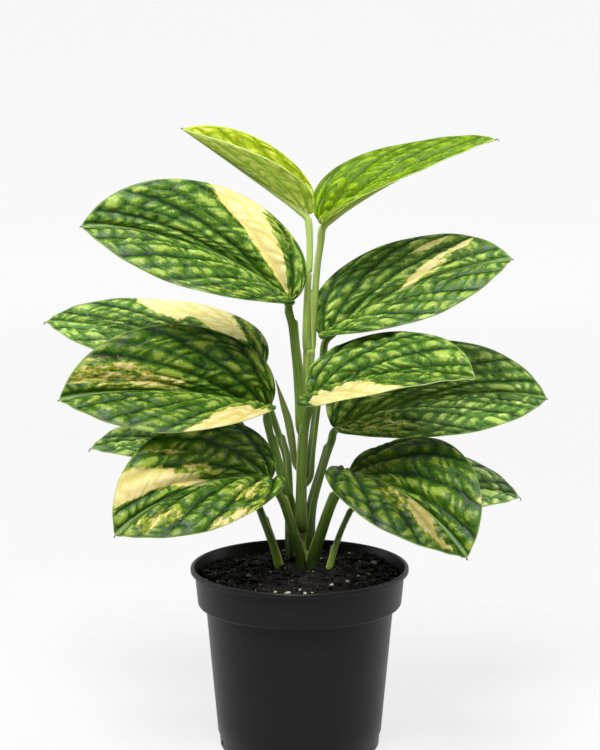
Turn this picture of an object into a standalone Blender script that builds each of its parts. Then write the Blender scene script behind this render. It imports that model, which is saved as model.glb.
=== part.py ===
"""Potted variegated monstera: twelve entire, quilted leaves on clasping stalks round one
stem, in a round black nursery pot. Metres, +Z up, origin under the middle of the pot,
+X to the viewer's right and +Y away from the viewer."""
import math

import bmesh
import bpy
import numpy as np
from mathutils import Vector, noise

MM = 0.001
GAP = 0.3 * MM                      # left between two pieces that touch on the real plant
MERGE = 0.01 * MM

# pot, from its outer sizes
POT_HEIGHT = 101.5 * MM
RIM_RADIUS = 59.7 * MM
RIM_WIDTH = 2.1 * MM                # the rounded lip round the mouth, seen from above
RIM_DEPTH = 2.8 * MM                # and its height
COLLAR_TOP_RADIUS = 57.4 * MM
COLLAR_LOW_RADIUS = 55.8 * MM
COLLAR_DEPTH = 21.0 * MM            # from the top of the rim to the collar's lower edge
BODY_TOP_RADIUS = 51.4 * MM
BODY_LOW_RADIUS = 45.0 * MM
FOOT_RADIUS = 44.2 * MM
FOOT_HEIGHT = 7.0 * MM
WALL = 1.3 * MM
FLOOR = 1.8 * MM
POT_SIDES = 48
DRAIN_SLOTS = 12
DRAIN_WIDTH = 3.0 * MM
DRAIN_HEIGHT = 4.0 * MM

# soil
SOIL_EDGE_BELOW_RIM = 6.5 * MM
SOIL_MOUND = 3.0 * MM
SOIL_RELIEF = 0.9 * MM
SOIL_RINGS = 8

# stalks, stem and spear
STEM_RADIUS = 2.9 * MM
NODE_SWELL = 0.5 * MM
STALK_SIDES_RESOLUTION = 2
STALK_STEP = 9.0 * MM

# blades
BLADE_THICKNESS = 0.95 * MM
VEIN_PAIRS = 6
VEIN_LINES = 12                     # rows of faces from base to tip, two for each vein
ACROSS = 5                          # faces from the midrib to the margin
RIDGE = 1.7 * MM                    # how far the blade swells between two veins
FAN = 1 / 6                         # veins up to this share of the way fan from the base
LAST_LINE = 0.9                     # rows past this one run together into the tip
CROWDING = 2.4                      # how much closer the veins leave the midrib near its base
EDGE_CROWDING = 2.2                 # and how much closer they reach the margin near the tip
LOBE_SPREAD = 0.85                  # and how they open out round the lobes at the base
VEIN_FORWARD = 0.42                 # where a vein bends, as a share of its run forward
VEIN_OUTWARD = 0.60                 # and as a share of its run outward
# margin of one half of a blade as a five-step Bezier: (share of length, share of half width)
MARGIN = ((0, 0), (-0.04, 0.42), (0.04, 1.08), (0.56, 1.22), (0.86, 0.78), (1, 0))

# Each leaf: base of the blade in mm, heading and pitch of the midrib there, droop from base
# to tip, blade length, half widths left and right of the heading, how steeply each half
# rises from the midrib at base and tip, how far a half arches over, and the stalk's foot
# radius, top radius and route in mm. Angles are in degrees.
LEAVES = {
    "leaf_left_1": dict(
        base=(5, 10, 293.4), heading=180, pitch=35, droop=1, length=82, half_left=22,
        half_right=23, rise_left=(68, 34), rise_right=(68, 62), arch=-40, foot=2.0, top=1.7,
        stalk=((3.6, 5.6, 221.4), (3.5, 5.4, 234), (4.5, 6.4, 257), (5.4, 7.6, 269),
               (5.4, 9, 281), (4.8, 9.8, 289))),
    "leaf_left_2": dict(
        base=(-5, -3, 248), heading=187, pitch=42, droop=42, length=122, half_left=38,
        half_right=38, rise_left=(-10, -45), rise_right=(80, 80), arch=30, foot=3.3, top=1.9,
        stalk=((0.9, 5.2, 178), (0.2, 4, 193), (-1.1, 2, 210), (-2.4, 0, 222),
               (-4, -1.5, 235), (-5.8, -2.8, 243))),
    "leaf_left_3": dict(
        base=(-21, 22, 206), heading=166, pitch=19, droop=18, length=126, half_left=35,
        half_right=35, rise_left=(-5, -22), rise_right=(48, 25), arch=30, foot=2.4, top=1.7,
        stalk=((-5.4, 27, 84), (-5.6, 27, 97), (-6, 26, 115), (-6, 25, 134),
               (-7.2, 24, 155), (-10.7, 24, 167), (-15, 23, 181), (-20, 22, 198))),
    "leaf_left_4": dict(
        base=(-17, -6, 190), heading=198, pitch=20, droop=28, length=117, half_left=39,
        half_right=40, rise_left=(0, -38), rise_right=(78, 72), arch=30, foot=3.3, top=1.9,
        stalk=((-3.9, 14.6, 116), (-4.5, 12.4, 126), (-5.6, 9, 135), (-7.9, 4, 144),
               (-11.2, 0, 157), (-15.1, -3, 172), (-17.6, -5, 184))),
    "leaf_left_5": dict(
        base=(-31, 22, 159), heading=157, pitch=8, droop=22, length=95, half_left=30,
        half_right=30, rise_left=(-5, -8), rise_right=(50, 25), arch=30, foot=3.0, top=1.7,
        stalk=((-7, 7, 84), (-10.5, 8, 97), (-13.5, 10, 108), (-17.4, 12, 118.5),
               (-21.2, 14, 128), (-26.8, 18, 143), (-30.4, 21, 153))),
    "leaf_left_6": dict(
        base=(-15, -10, 152), heading=214, pitch=15, droop=50, length=103, half_left=37,
        half_right=38, rise_left=(-5, -36), rise_right=(68, 68), arch=30, foot=3.0, top=2.0,
        stalk=((0.6, 9.5, 84), (0.6, 9, 97), (0.1, 8, 105), (-3.1, 5, 117.5), (-8.5, -1, 136),
               (-12.4, -6, 145), (-14.6, -9, 149))),
    "leaf_right_1": dict(
        base=(12, -3, 290.4), heading=-4, pitch=37, droop=21, length=103, half_left=29,
        half_right=26, rise_left=(78, 16), rise_right=(11, -3), arch=15, foot=2.0, top=1.8,
        stalk=((6.8, 8.6, 221.4), (7.3, 8, 234), (8.7, 6.4, 257), (9.8, 4, 269),
               (11.2, 0.8, 279), (11.8, -1.6, 286))),
    "leaf_right_2": dict(
        base=(13.4, 13, 225.4), heading=-6, pitch=39, droop=30, length=112, half_left=34,
        half_right=35, rise_left=(75, 42), rise_right=(0, -40), arch=30, foot=2.2, top=1.8,
        stalk=((5.4, 13.6, 148), (6.6, 14.2, 162), (9.4, 14.8, 186), (11.4, 15, 205),
               (12.9, 14.4, 217), (13.4, 13.8, 221.4))),
    "leaf_right_3": dict(
        base=(6, -8, 197), heading=-34, pitch=24, droop=25, length=105, half_left=34,
        half_right=39, rise_left=(60, 38), rise_right=(-15, -8), arch=30, foot=3.5, top=2.0,
        stalk=((0.9, 6.8, 124), (0.9, 4.4, 141), (1.4, 0.4, 160), (2.6, -3, 177),
               (5, -6.6, 190))),
    "leaf_right_4": dict(
        base=(19, 19, 174), heading=14, pitch=22, droop=34, length=125, half_left=38,
        half_right=38, rise_left=(70, 55), rise_right=(-12, -32), arch=30, foot=3.4, top=1.9,
        stalk=((5, 14.4, 112), (6, 14.6, 126), (7.8, 15, 137), (13.2, 16.6, 155),
               (17.4, 18.6, 167))),
    "leaf_right_5": dict(
        base=(26, -16, 157.6), heading=-44, pitch=2, droop=46, length=93, half_left=41,
        half_right=42, rise_left=(20, 52), rise_right=(6, -10), arch=30, foot=3.5, top=2.3,
        stalk=((8, 9.5, 84), (7.6, 9, 97), (8, 8, 105), (11, 5, 116), (17.4, -4, 137),
               (23.4, -12.6, 150))),
    "leaf_right_6": dict(
        base=(29, 22, 129), heading=22, pitch=12, droop=28, length=104, half_left=35,
        half_right=34, rise_left=(50, 32), rise_right=(-5, -10), arch=30, foot=2.3, top=1.5,
        stalk=((13.5, 4.5, 84), (16.2, 6, 97), (18.4, 9, 106), (22.2, 14, 116),
               (26.8, 19.4, 125))),
}
IN_SOIL = ("leaf_left_3", "leaf_left_5", "leaf_left_6", "leaf_right_5", "leaf_right_6")
ON_STEM = ("leaf_left_2", "leaf_left_4", "leaf_right_2", "leaf_right_3", "leaf_right_4")

# stem: route in mm, with the heights of its ringed nodes
STEM_ROUTE = ((3.2, 16.5, 84), (3, 15.6, 97.5), (2, 14, 113), (1.2, 12.6, 127), (1, 11, 153),
              (1.8, 10, 170), (2.8, 9, 186), (4, 8, 203), (5.2, 7.1, 220.5))
STEM_NODES = (128, 186, 218)
# the unopened leaf sheath beside the stem
SPEAR_ROUTE = ((-2.7, 13.1, 156), (-3.9, 12.6, 166), (-6.1, 11, 179.5), (-8.8, 10, 189),
               (-13, 9, 203))
SPEAR_FOOT = 1.3 * MM
SPEAR_SWELL = 1.0 * MM              # it is widest above the middle and runs out to a point
SPEAR_TIP = 0.3 * MM


def clear_scene():
    for thing in list(bpy.data.objects):
        bpy.data.objects.remove(thing, do_unlink=True)


def new_collection(name):
    group = bpy.data.collections.new(name)
    bpy.context.scene.collection.children.link(group)
    return group


def material(name, colour, roughness, metallic=0.0):
    made = bpy.data.materials.new(name)
    made.use_nodes = True
    shader = made.node_tree.nodes["Principled BSDF"]
    shader.inputs["Base Color"].default_value = (*colour, 1.0)
    shader.inputs["Roughness"].default_value = roughness
    shader.inputs["Metallic"].default_value = metallic
    return made


def add_object(name, mesh, group, finish=None):
    thing = bpy.data.objects.new(name, mesh)
    group.objects.link(thing)
    if finish:
        mesh.materials.clear()
        mesh.materials.append(finish)
    return thing


def mesh_from(bm, name):
    mesh = bpy.data.meshes.new(name)
    bm.to_mesh(mesh)
    bm.free()
    return mesh


def evaluated_mesh(thing, name):
    """The object's mesh with its modifiers applied, in world space, caps welded."""
    bpy.context.view_layer.update()
    graph = bpy.context.evaluated_depsgraph_get()
    mesh = bpy.data.meshes.new_from_object(thing.evaluated_get(graph))
    mesh.transform(thing.matrix_world)
    mesh.name = name
    bm = bmesh.new()
    bm.from_mesh(mesh)
    bmesh.ops.remove_doubles(bm, verts=bm.verts, dist=MERGE)
    bmesh.ops.recalc_face_normals(bm, faces=bm.faces)
    bm.to_mesh(mesh)
    bm.free()
    return mesh


def bake(thing, group, finish=None):
    """Replaces a curve or a modified object by its plain mesh."""
    name = thing.name
    mesh = evaluated_mesh(thing, name)
    bpy.data.objects.remove(thing, do_unlink=True)
    return add_object(name, mesh, group, finish)


def boolean(thing, other, operation):
    step = thing.modifiers.new(operation.lower(), "BOOLEAN")
    step.operation = operation
    step.solver = "EXACT"
    step.object = other


def shade_smooth(thing, angle=50):
    thing.data.shade_smooth()
    thing.data.set_sharp_from_angle(angle=math.radians(angle))


def smooth_route(points, step):
    """A smooth curve through the given points, read off about every step metres."""
    pts = [Vector(p) for p in points]
    pts = [2 * pts[0] - pts[1]] + pts + [2 * pts[-1] - pts[-2]]
    route = []
    for i in range(1, len(pts) - 2):
        before, here, after, beyond = pts[i - 1:i + 3]
        count = max(1, round((after - here).length / step))
        for k in range(count):
            t = k / count
            route.append(0.5 * (2 * here + (after - before) * t
                                + (2 * before - 5 * here + 4 * after - beyond) * t * t
                                + (3 * here - before - 3 * after + beyond) * t ** 3))
    route.append(pts[-2])
    return route


def tube(name, route, radii, group):
    """A tapering tube as a mesh object: a bevelled curve with filled ends."""
    curve = bpy.data.curves.new(name, "CURVE")
    curve.dimensions = "3D"
    curve.bevel_depth = 1.0
    curve.bevel_resolution = STALK_SIDES_RESOLUTION
    curve.use_fill_caps = True
    spline = curve.splines.new("POLY")
    spline.points.add(len(route) - 1)
    for point, place, radius in zip(spline.points, route, radii):
        point.co = (*place, 1.0)
        point.radius = radius
    return bake(add_object(name, curve, group), group)


def in_metres(points):
    return [tuple(c * MM for c in p) for p in points]


def turned(name, profile, sides, group, finish):
    """A solid of revolution from (radius, height) points that run down its outer side."""
    bm = bmesh.new()
    dots = [bm.verts.new((r, 0.0, z)) for r, z in profile]
    for a, b in zip(dots, dots[1:]):
        bm.edges.new((a, b))
    thing = add_object(name, mesh_from(bm, name), group, finish)
    screw = thing.modifiers.new("turn", "SCREW")
    screw.axis = "Z"
    screw.steps = sides
    screw.render_steps = sides
    screw.use_merge_vertices = True
    screw.merge_threshold = MERGE
    screw.use_smooth_shade = True
    return thing


def arc(centre, radius, start, end, count):
    """Points on an arc of the turned profile, angles in degrees from +X."""
    points = []
    for k in range(count + 1):
        a = math.radians(start + (end - start) * k / count)
        points.append((centre[0] + radius * math.cos(a), centre[1] + radius * math.sin(a)))
    return points


def pot_outside():
    """The pot's outer side from under the lip down to its foot."""
    collar_low = POT_HEIGHT - COLLAR_DEPTH
    lip_low = POT_HEIGHT - RIM_DEPTH
    corner = 1.5 * MM
    body_step = 9.0 * MM
    return ([(COLLAR_TOP_RADIUS, lip_low)]
            + arc((COLLAR_LOW_RADIUS - corner, collar_low + corner), corner, 0, -90, 3)
            + [(BODY_TOP_RADIUS, collar_low),
               (BODY_LOW_RADIUS, body_step), (FOOT_RADIUS, FOOT_HEIGHT)]
            + arc((FOOT_RADIUS - 0.5 * MM - corner, corner), corner, 0, -90, 3))


def pot_inside():
    """The pot's inner side from its floor up to where the lip flares out."""
    collar_low = POT_HEIGHT - COLLAR_DEPTH
    return [(FOOT_RADIUS - WALL - 1.5 * MM, FLOOR), (FOOT_RADIUS - WALL, FLOOR + 1.5 * MM),
            (BODY_TOP_RADIUS - WALL, collar_low),
            (COLLAR_LOW_RADIUS - WALL, collar_low + WALL),
            (COLLAR_TOP_RADIUS - WALL, POT_HEIGHT - RIM_DEPTH - RIM_WIDTH)]


def make_pot(parts, cutters, finish):
    half_lip = RIM_WIDTH / 2
    crown = arc((RIM_RADIUS - half_lip, POT_HEIGHT - half_lip), half_lip, 180, 0, 6)
    profile = ([(0.0, FLOOR)] + pot_inside() + crown
               + [(RIM_RADIUS, POT_HEIGHT - RIM_DEPTH + 0.6 * MM)] + pot_outside()
               + [(0.0, 0.0)])
    pot = turned("pot", profile, POT_SIDES, parts, finish)
    for k in range(DRAIN_SLOTS):
        turn = 2 * math.pi * (k + 0.5) / DRAIN_SLOTS
        bm = bmesh.new()
        bmesh.ops.create_cone(bm, cap_ends=True, segments=12, radius1=DRAIN_WIDTH / 2,
                              radius2=DRAIN_WIDTH / 2, depth=8 * MM)
        slot = add_object(f"drain_cutter_{k + 1}", mesh_from(bm, "drain"), cutters)
        slot.rotation_euler = (0.0, math.pi / 2, turn)
        slot.location = (FOOT_RADIUS * math.cos(turn), FOOT_RADIUS * math.sin(turn),
                         DRAIN_HEIGHT)
        boolean(pot, slot, "DIFFERENCE")


def soil_height(x, y):
    """The soil's surface: a low mound with crumbs raised by a fixed noise."""
    reach = min(1.0, math.hypot(x, y) / COLLAR_LOW_RADIUS)
    level = POT_HEIGHT - SOIL_EDGE_BELOW_RIM + SOIL_MOUND * (1 - reach * reach)
    crumbs = noise.noise(Vector((x, y, 0.0)) / (4.2 * MM))
    return level + SOIL_RELIEF * crumbs


def make_soil(parts, cutters, finish, rooted):
    """Soil that fills the pot to below its rim, with a plain hole for each thing in it."""
    side = [(r - GAP, z + GAP) for r, z in pot_inside()]
    level = POT_HEIGHT - SOIL_EDGE_BELOW_RIM
    top_radius = side[-2][0] + 0.7 * (side[-1][0] - side[-2][0])
    profile = [(top_radius * k / SOIL_RINGS, level) for k in range(SOIL_RINGS + 1)]
    profile += reversed(side[:-1])
    profile.append((0.0, FLOOR + GAP))
    soil = turned("soil", profile, POT_SIDES, parts, finish)
    soil = bake(soil, parts, finish)
    for vertex in soil.data.vertices:
        if vertex.co.z > level - MERGE:
            vertex.co.z = soil_height(vertex.co.x, vertex.co.y)
    bm = bmesh.new()
    bm.from_mesh(soil.data)
    bmesh.ops.triangulate(bm, faces=bm.faces)
    bm.to_mesh(soil.data)
    bm.free()
    for name, route, radii in rooted:
        hole = tube(f"hole_for_{name}", route, radii, cutters)
        boolean(soil, hole, "DIFFERENCE")


def foot_hole(route, radii):
    """Route and radii of a hole 0.3 mm wider and deeper than what stands in it."""
    count = 1 + sum(1 for place in route if place.z < POT_HEIGHT)
    hole = list(route[:count])
    hole[0] = hole[0] + (hole[0] - hole[1]).normalized() * GAP
    return hole, [radius + GAP for radius in radii[:count]]


def margin(m):
    """Share of length and of half width at parameter m of a blade's margin."""
    order = len(MARGIN) - 1
    terms = [math.comb(order, i) * m ** i * (1 - m) ** (order - i) for i in range(order + 1)]
    along = sum(t * p[0] for t, p in zip(terms, MARGIN))
    across = sum(t * p[1] for t, p in zip(terms, MARGIN))
    return along, across


def blade_share(line, out):
    """Where vein line 0..1 is at share out of its run, as shares of length and half width."""
    start = max(0.0, (line - FAN) / (1 - FAN)) ** CROWDING
    edge_along, edge_across = margin(1 - (1 - line ** LOBE_SPREAD) ** EDGE_CROWDING)
    bend = 2 * out * (1 - out)
    along = ((1 - out) ** 2 * start + bend * (start + VEIN_FORWARD * (edge_along - start))
             + out * out * edge_along)
    across = (bend * VEIN_OUTWARD + out * out) * edge_across
    return along, across


def ridge_height(line, out):
    """Swelling of the blade between its sunken veins, none at the midrib."""
    between = math.sin(math.pi * VEIN_PAIRS * line) ** 2
    fade = math.sin(math.pi * min(1.0, 0.15 + 0.75 * out) * min(1.0, 4 * out))
    return RIDGE * between * max(0.25 * min(1.0, 4 * out), fade) * min(1.0, 6 * (1 - line))


def midrib(leaf, along):
    """Point, forward and up axes of the midrib at a share of its length."""
    heading = math.radians(leaf["heading"])
    forward = Vector((math.cos(heading), math.sin(heading), 0.0))
    up = Vector((0.0, 0.0, 1.0))
    pitch = math.radians(leaf["pitch"])
    droop = math.radians(leaf["droop"])
    bent = pitch - droop * max(0.0, along)
    length = leaf["length"] * MM
    run = (math.sin(pitch) - math.sin(bent)) / droop * length
    rise = (math.cos(bent) - math.cos(pitch)) / droop * length
    tangent = forward * math.cos(bent) + up * math.sin(bent)
    normal = up * math.cos(bent) - forward * math.sin(bent)
    place = Vector(leaf["base"]) * MM + forward * run + up * rise
    return place + tangent * length * min(0.0, along), tangent, normal


def half_slope(leaf, along, side):
    """How steeply a half leaves the midrib at a share of its length."""
    at_base, at_tip = leaf["rise_left" if side > 0 else "rise_right"]
    ease = 1 - (1 - min(1.0, max(0.0, along))) ** 2
    return math.radians(at_base + (at_tip - at_base) * ease + leaf["arch"] / 2)


def keel(leaf, along):
    """Direction straight out of the fold under the midrib."""
    _, tangent, normal = midrib(leaf, along)
    left = half_slope(leaf, along, 1)
    right = half_slope(leaf, along, -1)
    sideways = normal.cross(tangent)
    inward = (sideways * (math.cos(left) - math.cos(right))
              + normal * (math.sin(left) + math.sin(right)))
    return -inward.normalized() if inward.dot(normal) > 0.2 else -normal


def blade_point(leaf, line, out, side):
    """World place of a blade point; side is +1 left of the heading and -1 right of it."""
    along, across = blade_share(line, out)
    place, tangent, normal = midrib(leaf, along)
    sideways = normal.cross(tangent) * side
    half = leaf["half_left" if side > 0 else "half_right"] * MM
    slope = half_slope(leaf, along, side)
    arch = math.radians(leaf["arch"])
    turn = arch * across / 2
    reach = across * half * (math.sin(turn) / turn if abs(turn) > 1e-6 else 1.0)
    place = place + reach * (sideways * math.cos(slope - turn) + normal * math.sin(slope - turn))
    face = normal * math.cos(slope - 2 * turn) - sideways * math.sin(slope - 2 * turn)
    return place + face * ridge_height(line, out)


def make_blade(name, leaf, group):
    """The quilted blade: a grid laid along the veins, split into triangles, then thickened."""
    bm = bmesh.new()
    bmesh.ops.create_grid(bm, x_segments=VEIN_LINES, y_segments=2 * ACROSS, size=1.0)
    for vertex in bm.verts:
        line = min(1.0, max(0.0, (vertex.co.x + 1) / 2))
        line = 1.0 if line > LAST_LINE else line
        out = min(1.0, abs(vertex.co.y))
        vertex.co = blade_point(leaf, line, out, 1 if vertex.co.y >= 0 else -1)
    bmesh.ops.remove_doubles(bm, verts=bm.verts, dist=MERGE)
    bmesh.ops.triangulate(bm, faces=bm.faces)
    blade = add_object(name, mesh_from(bm, name), group)
    shell = blade.modifiers.new("thickness", "SOLIDIFY")
    shell.thickness = BLADE_THICKNESS
    shell.offset = -1.0
    return bake(blade, group)


def stalk_route(leaf):
    """The stalk's route, which ends sunk into the underside of the midrib."""
    points = in_metres(leaf["stalk"])
    top = leaf["top"] * MM
    for along, share in ((0.0, 1.0), (0.07, 0.75), (0.15, 0.5)):
        place = midrib(leaf, along)[0]
        points.append(tuple(place + keel(leaf, along) * (top * share + 0.45 * MM)))
    return smooth_route(points, STALK_STEP)


def stalk_radii(leaf, route):
    """Radius along the stalk: widest at its clasping foot, slim under the midrib."""
    lengths = [0.0]
    for a, b in zip(route, route[1:]):
        lengths.append(lengths[-1] + (b - a).length)
    under_blade = 0.15 * leaf["length"] * MM
    free = lengths[-1] - under_blade
    radii = []
    for run in lengths:
        share = min(1.0, run / free)
        radius = leaf["foot"] + (leaf["top"] - leaf["foot"]) * share
        tail = max(0.0, run - free) / under_blade
        radii.append(radius * (1 - 0.5 * tail) * MM)
    return radii


def make_leaf(name, leaf, parts, cutters, finish, stem_clearance):
    """One leaf as it grew: blade and stalk joined, the foot shaped to clasp the stem."""
    route = stalk_route(leaf)
    stalk = tube(f"{name}_stalk", route, stalk_radii(leaf, route), cutters)
    blade = make_blade(name, leaf, parts)
    boolean(blade, stalk, "UNION")
    if name in ON_STEM:
        boolean(blade, stem_clearance, "DIFFERENCE")
    shade_smooth(bake(blade, parts, finish))
    bpy.data.objects.remove(stalk, do_unlink=True)


def stem_radii(route, extra):
    """The stem's radius, swollen at each ringed node."""
    radii = []
    for place in route:
        near = min(abs(place.z / MM - z) for z in STEM_NODES)
        radii.append(STEM_RADIUS + extra + NODE_SWELL * max(0.0, 1 - near / 5))
    return radii


def make_stem(parts, finish):
    route = smooth_route(in_metres(STEM_ROUTE), STALK_STEP / 2)
    stem = tube("stem", route, stem_radii(route, 0.0), parts)
    stem.data.materials.append(finish)
    shade_smooth(stem)
    return route


def spear_radius(run):
    """The sheath's radius at a share of its length."""
    body = SPEAR_FOOT + SPEAR_SWELL * math.sin(math.pi * run ** 1.2)
    return body * (1 - run ** 5) + SPEAR_TIP * run ** 5


def make_spear(parts, finish, stem_clearance):
    route = smooth_route(in_metres(SPEAR_ROUTE), STALK_STEP / 2)
    count = len(route) - 1
    radii = [spear_radius(k / count) for k in range(count + 1)]
    spear = tube("spear", route, radii, parts)
    boolean(spear, stem_clearance, "DIFFERENCE")
    shade_smooth(bake(spear, parts, finish))


def hide_cutters(group):
    for thing in group.objects:
        thing.hide_render = True
        thing.display_type = "WIRE"


def main():
    clear_scene()
    parts = new_collection("potted_monstera")
    cutters = new_collection("cutters")
    pot_black = material("black_pot_plastic", (0.018, 0.019, 0.021), 0.55)
    earth = material("potting_soil", (0.012, 0.009, 0.007), 0.95)
    leaf_green = material("mature_leaf_green", (0.06, 0.17, 0.02), 0.38)
    lime_green = material("young_leaf_lime", (0.28, 0.46, 0.05), 0.36)
    stem_green = material("stem_green", (0.11, 0.20, 0.03), 0.42)
    sheath_olive = material("sheath_olive", (0.16, 0.21, 0.08), 0.5)

    make_pot(parts, cutters, pot_black)
    stem_route = make_stem(parts, stem_green)
    clearance = tube("stem_clearance", stem_route, stem_radii(stem_route, GAP), cutters)
    make_spear(parts, sheath_olive, clearance)
    rooted = [("stem", *foot_hole(stem_route, stem_radii(stem_route, 0.0)))]
    for name, leaf in LEAVES.items():
        young = name in ("leaf_left_1", "leaf_right_1")
        make_leaf(name, leaf, parts, cutters, lime_green if young else leaf_green, clearance)
        if name in IN_SOIL:
            route = stalk_route(leaf)
            rooted.append((name, *foot_hole(route, stalk_radii(leaf, route))))
    make_soil(parts, cutters, earth, rooted)
    hide_cutters(cutters)


main()
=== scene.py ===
"""Looks of the potted variegated monstera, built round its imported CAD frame: fine quilted
leaves with their marbling, sheathed stalks, crumbly soil and the black nursery pot."""
import math
import random
from contextlib import contextmanager

import bmesh
import bpy
import numpy as np
from mathutils import Matrix, Vector, noise
from mathutils.bvhtree import BVHTree


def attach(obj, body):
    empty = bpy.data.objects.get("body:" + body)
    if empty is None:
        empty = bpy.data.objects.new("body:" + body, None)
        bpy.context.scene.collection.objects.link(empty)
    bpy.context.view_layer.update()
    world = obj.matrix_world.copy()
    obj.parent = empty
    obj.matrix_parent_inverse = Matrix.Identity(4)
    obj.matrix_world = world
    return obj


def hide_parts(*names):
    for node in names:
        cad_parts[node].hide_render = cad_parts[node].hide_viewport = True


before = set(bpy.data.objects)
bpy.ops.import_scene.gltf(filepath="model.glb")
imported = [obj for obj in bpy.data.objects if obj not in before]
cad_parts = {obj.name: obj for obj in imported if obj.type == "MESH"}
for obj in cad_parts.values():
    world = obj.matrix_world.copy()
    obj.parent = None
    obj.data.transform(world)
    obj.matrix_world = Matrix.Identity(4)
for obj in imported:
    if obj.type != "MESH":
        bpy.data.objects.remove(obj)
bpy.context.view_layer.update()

MM = 0.001
SEED = 7

# the photograph's camera
SENSOR = 36.0
LENS = 133.4
CAMERA_DISTANCE = 1.5
CAMERA_AIM = Vector((0.0002, 0.0, 0.2076))
CAMERA_LOOKS_DOWN = 10.9

# blades, as in the CAD part
VEIN_PAIRS = 6
RIDGE = 1.7 * MM
FAN = 1 / 6
CROWDING = 2.4
EDGE_CROWDING = 2.2
LOBE_SPREAD = 0.85
VEIN_FORWARD = 0.42
VEIN_OUTWARD = 0.60
MARGIN = ((0, 0), (-0.04, 0.42), (0.04, 1.08), (0.56, 1.22), (0.86, 0.78), (1, 0))

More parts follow.
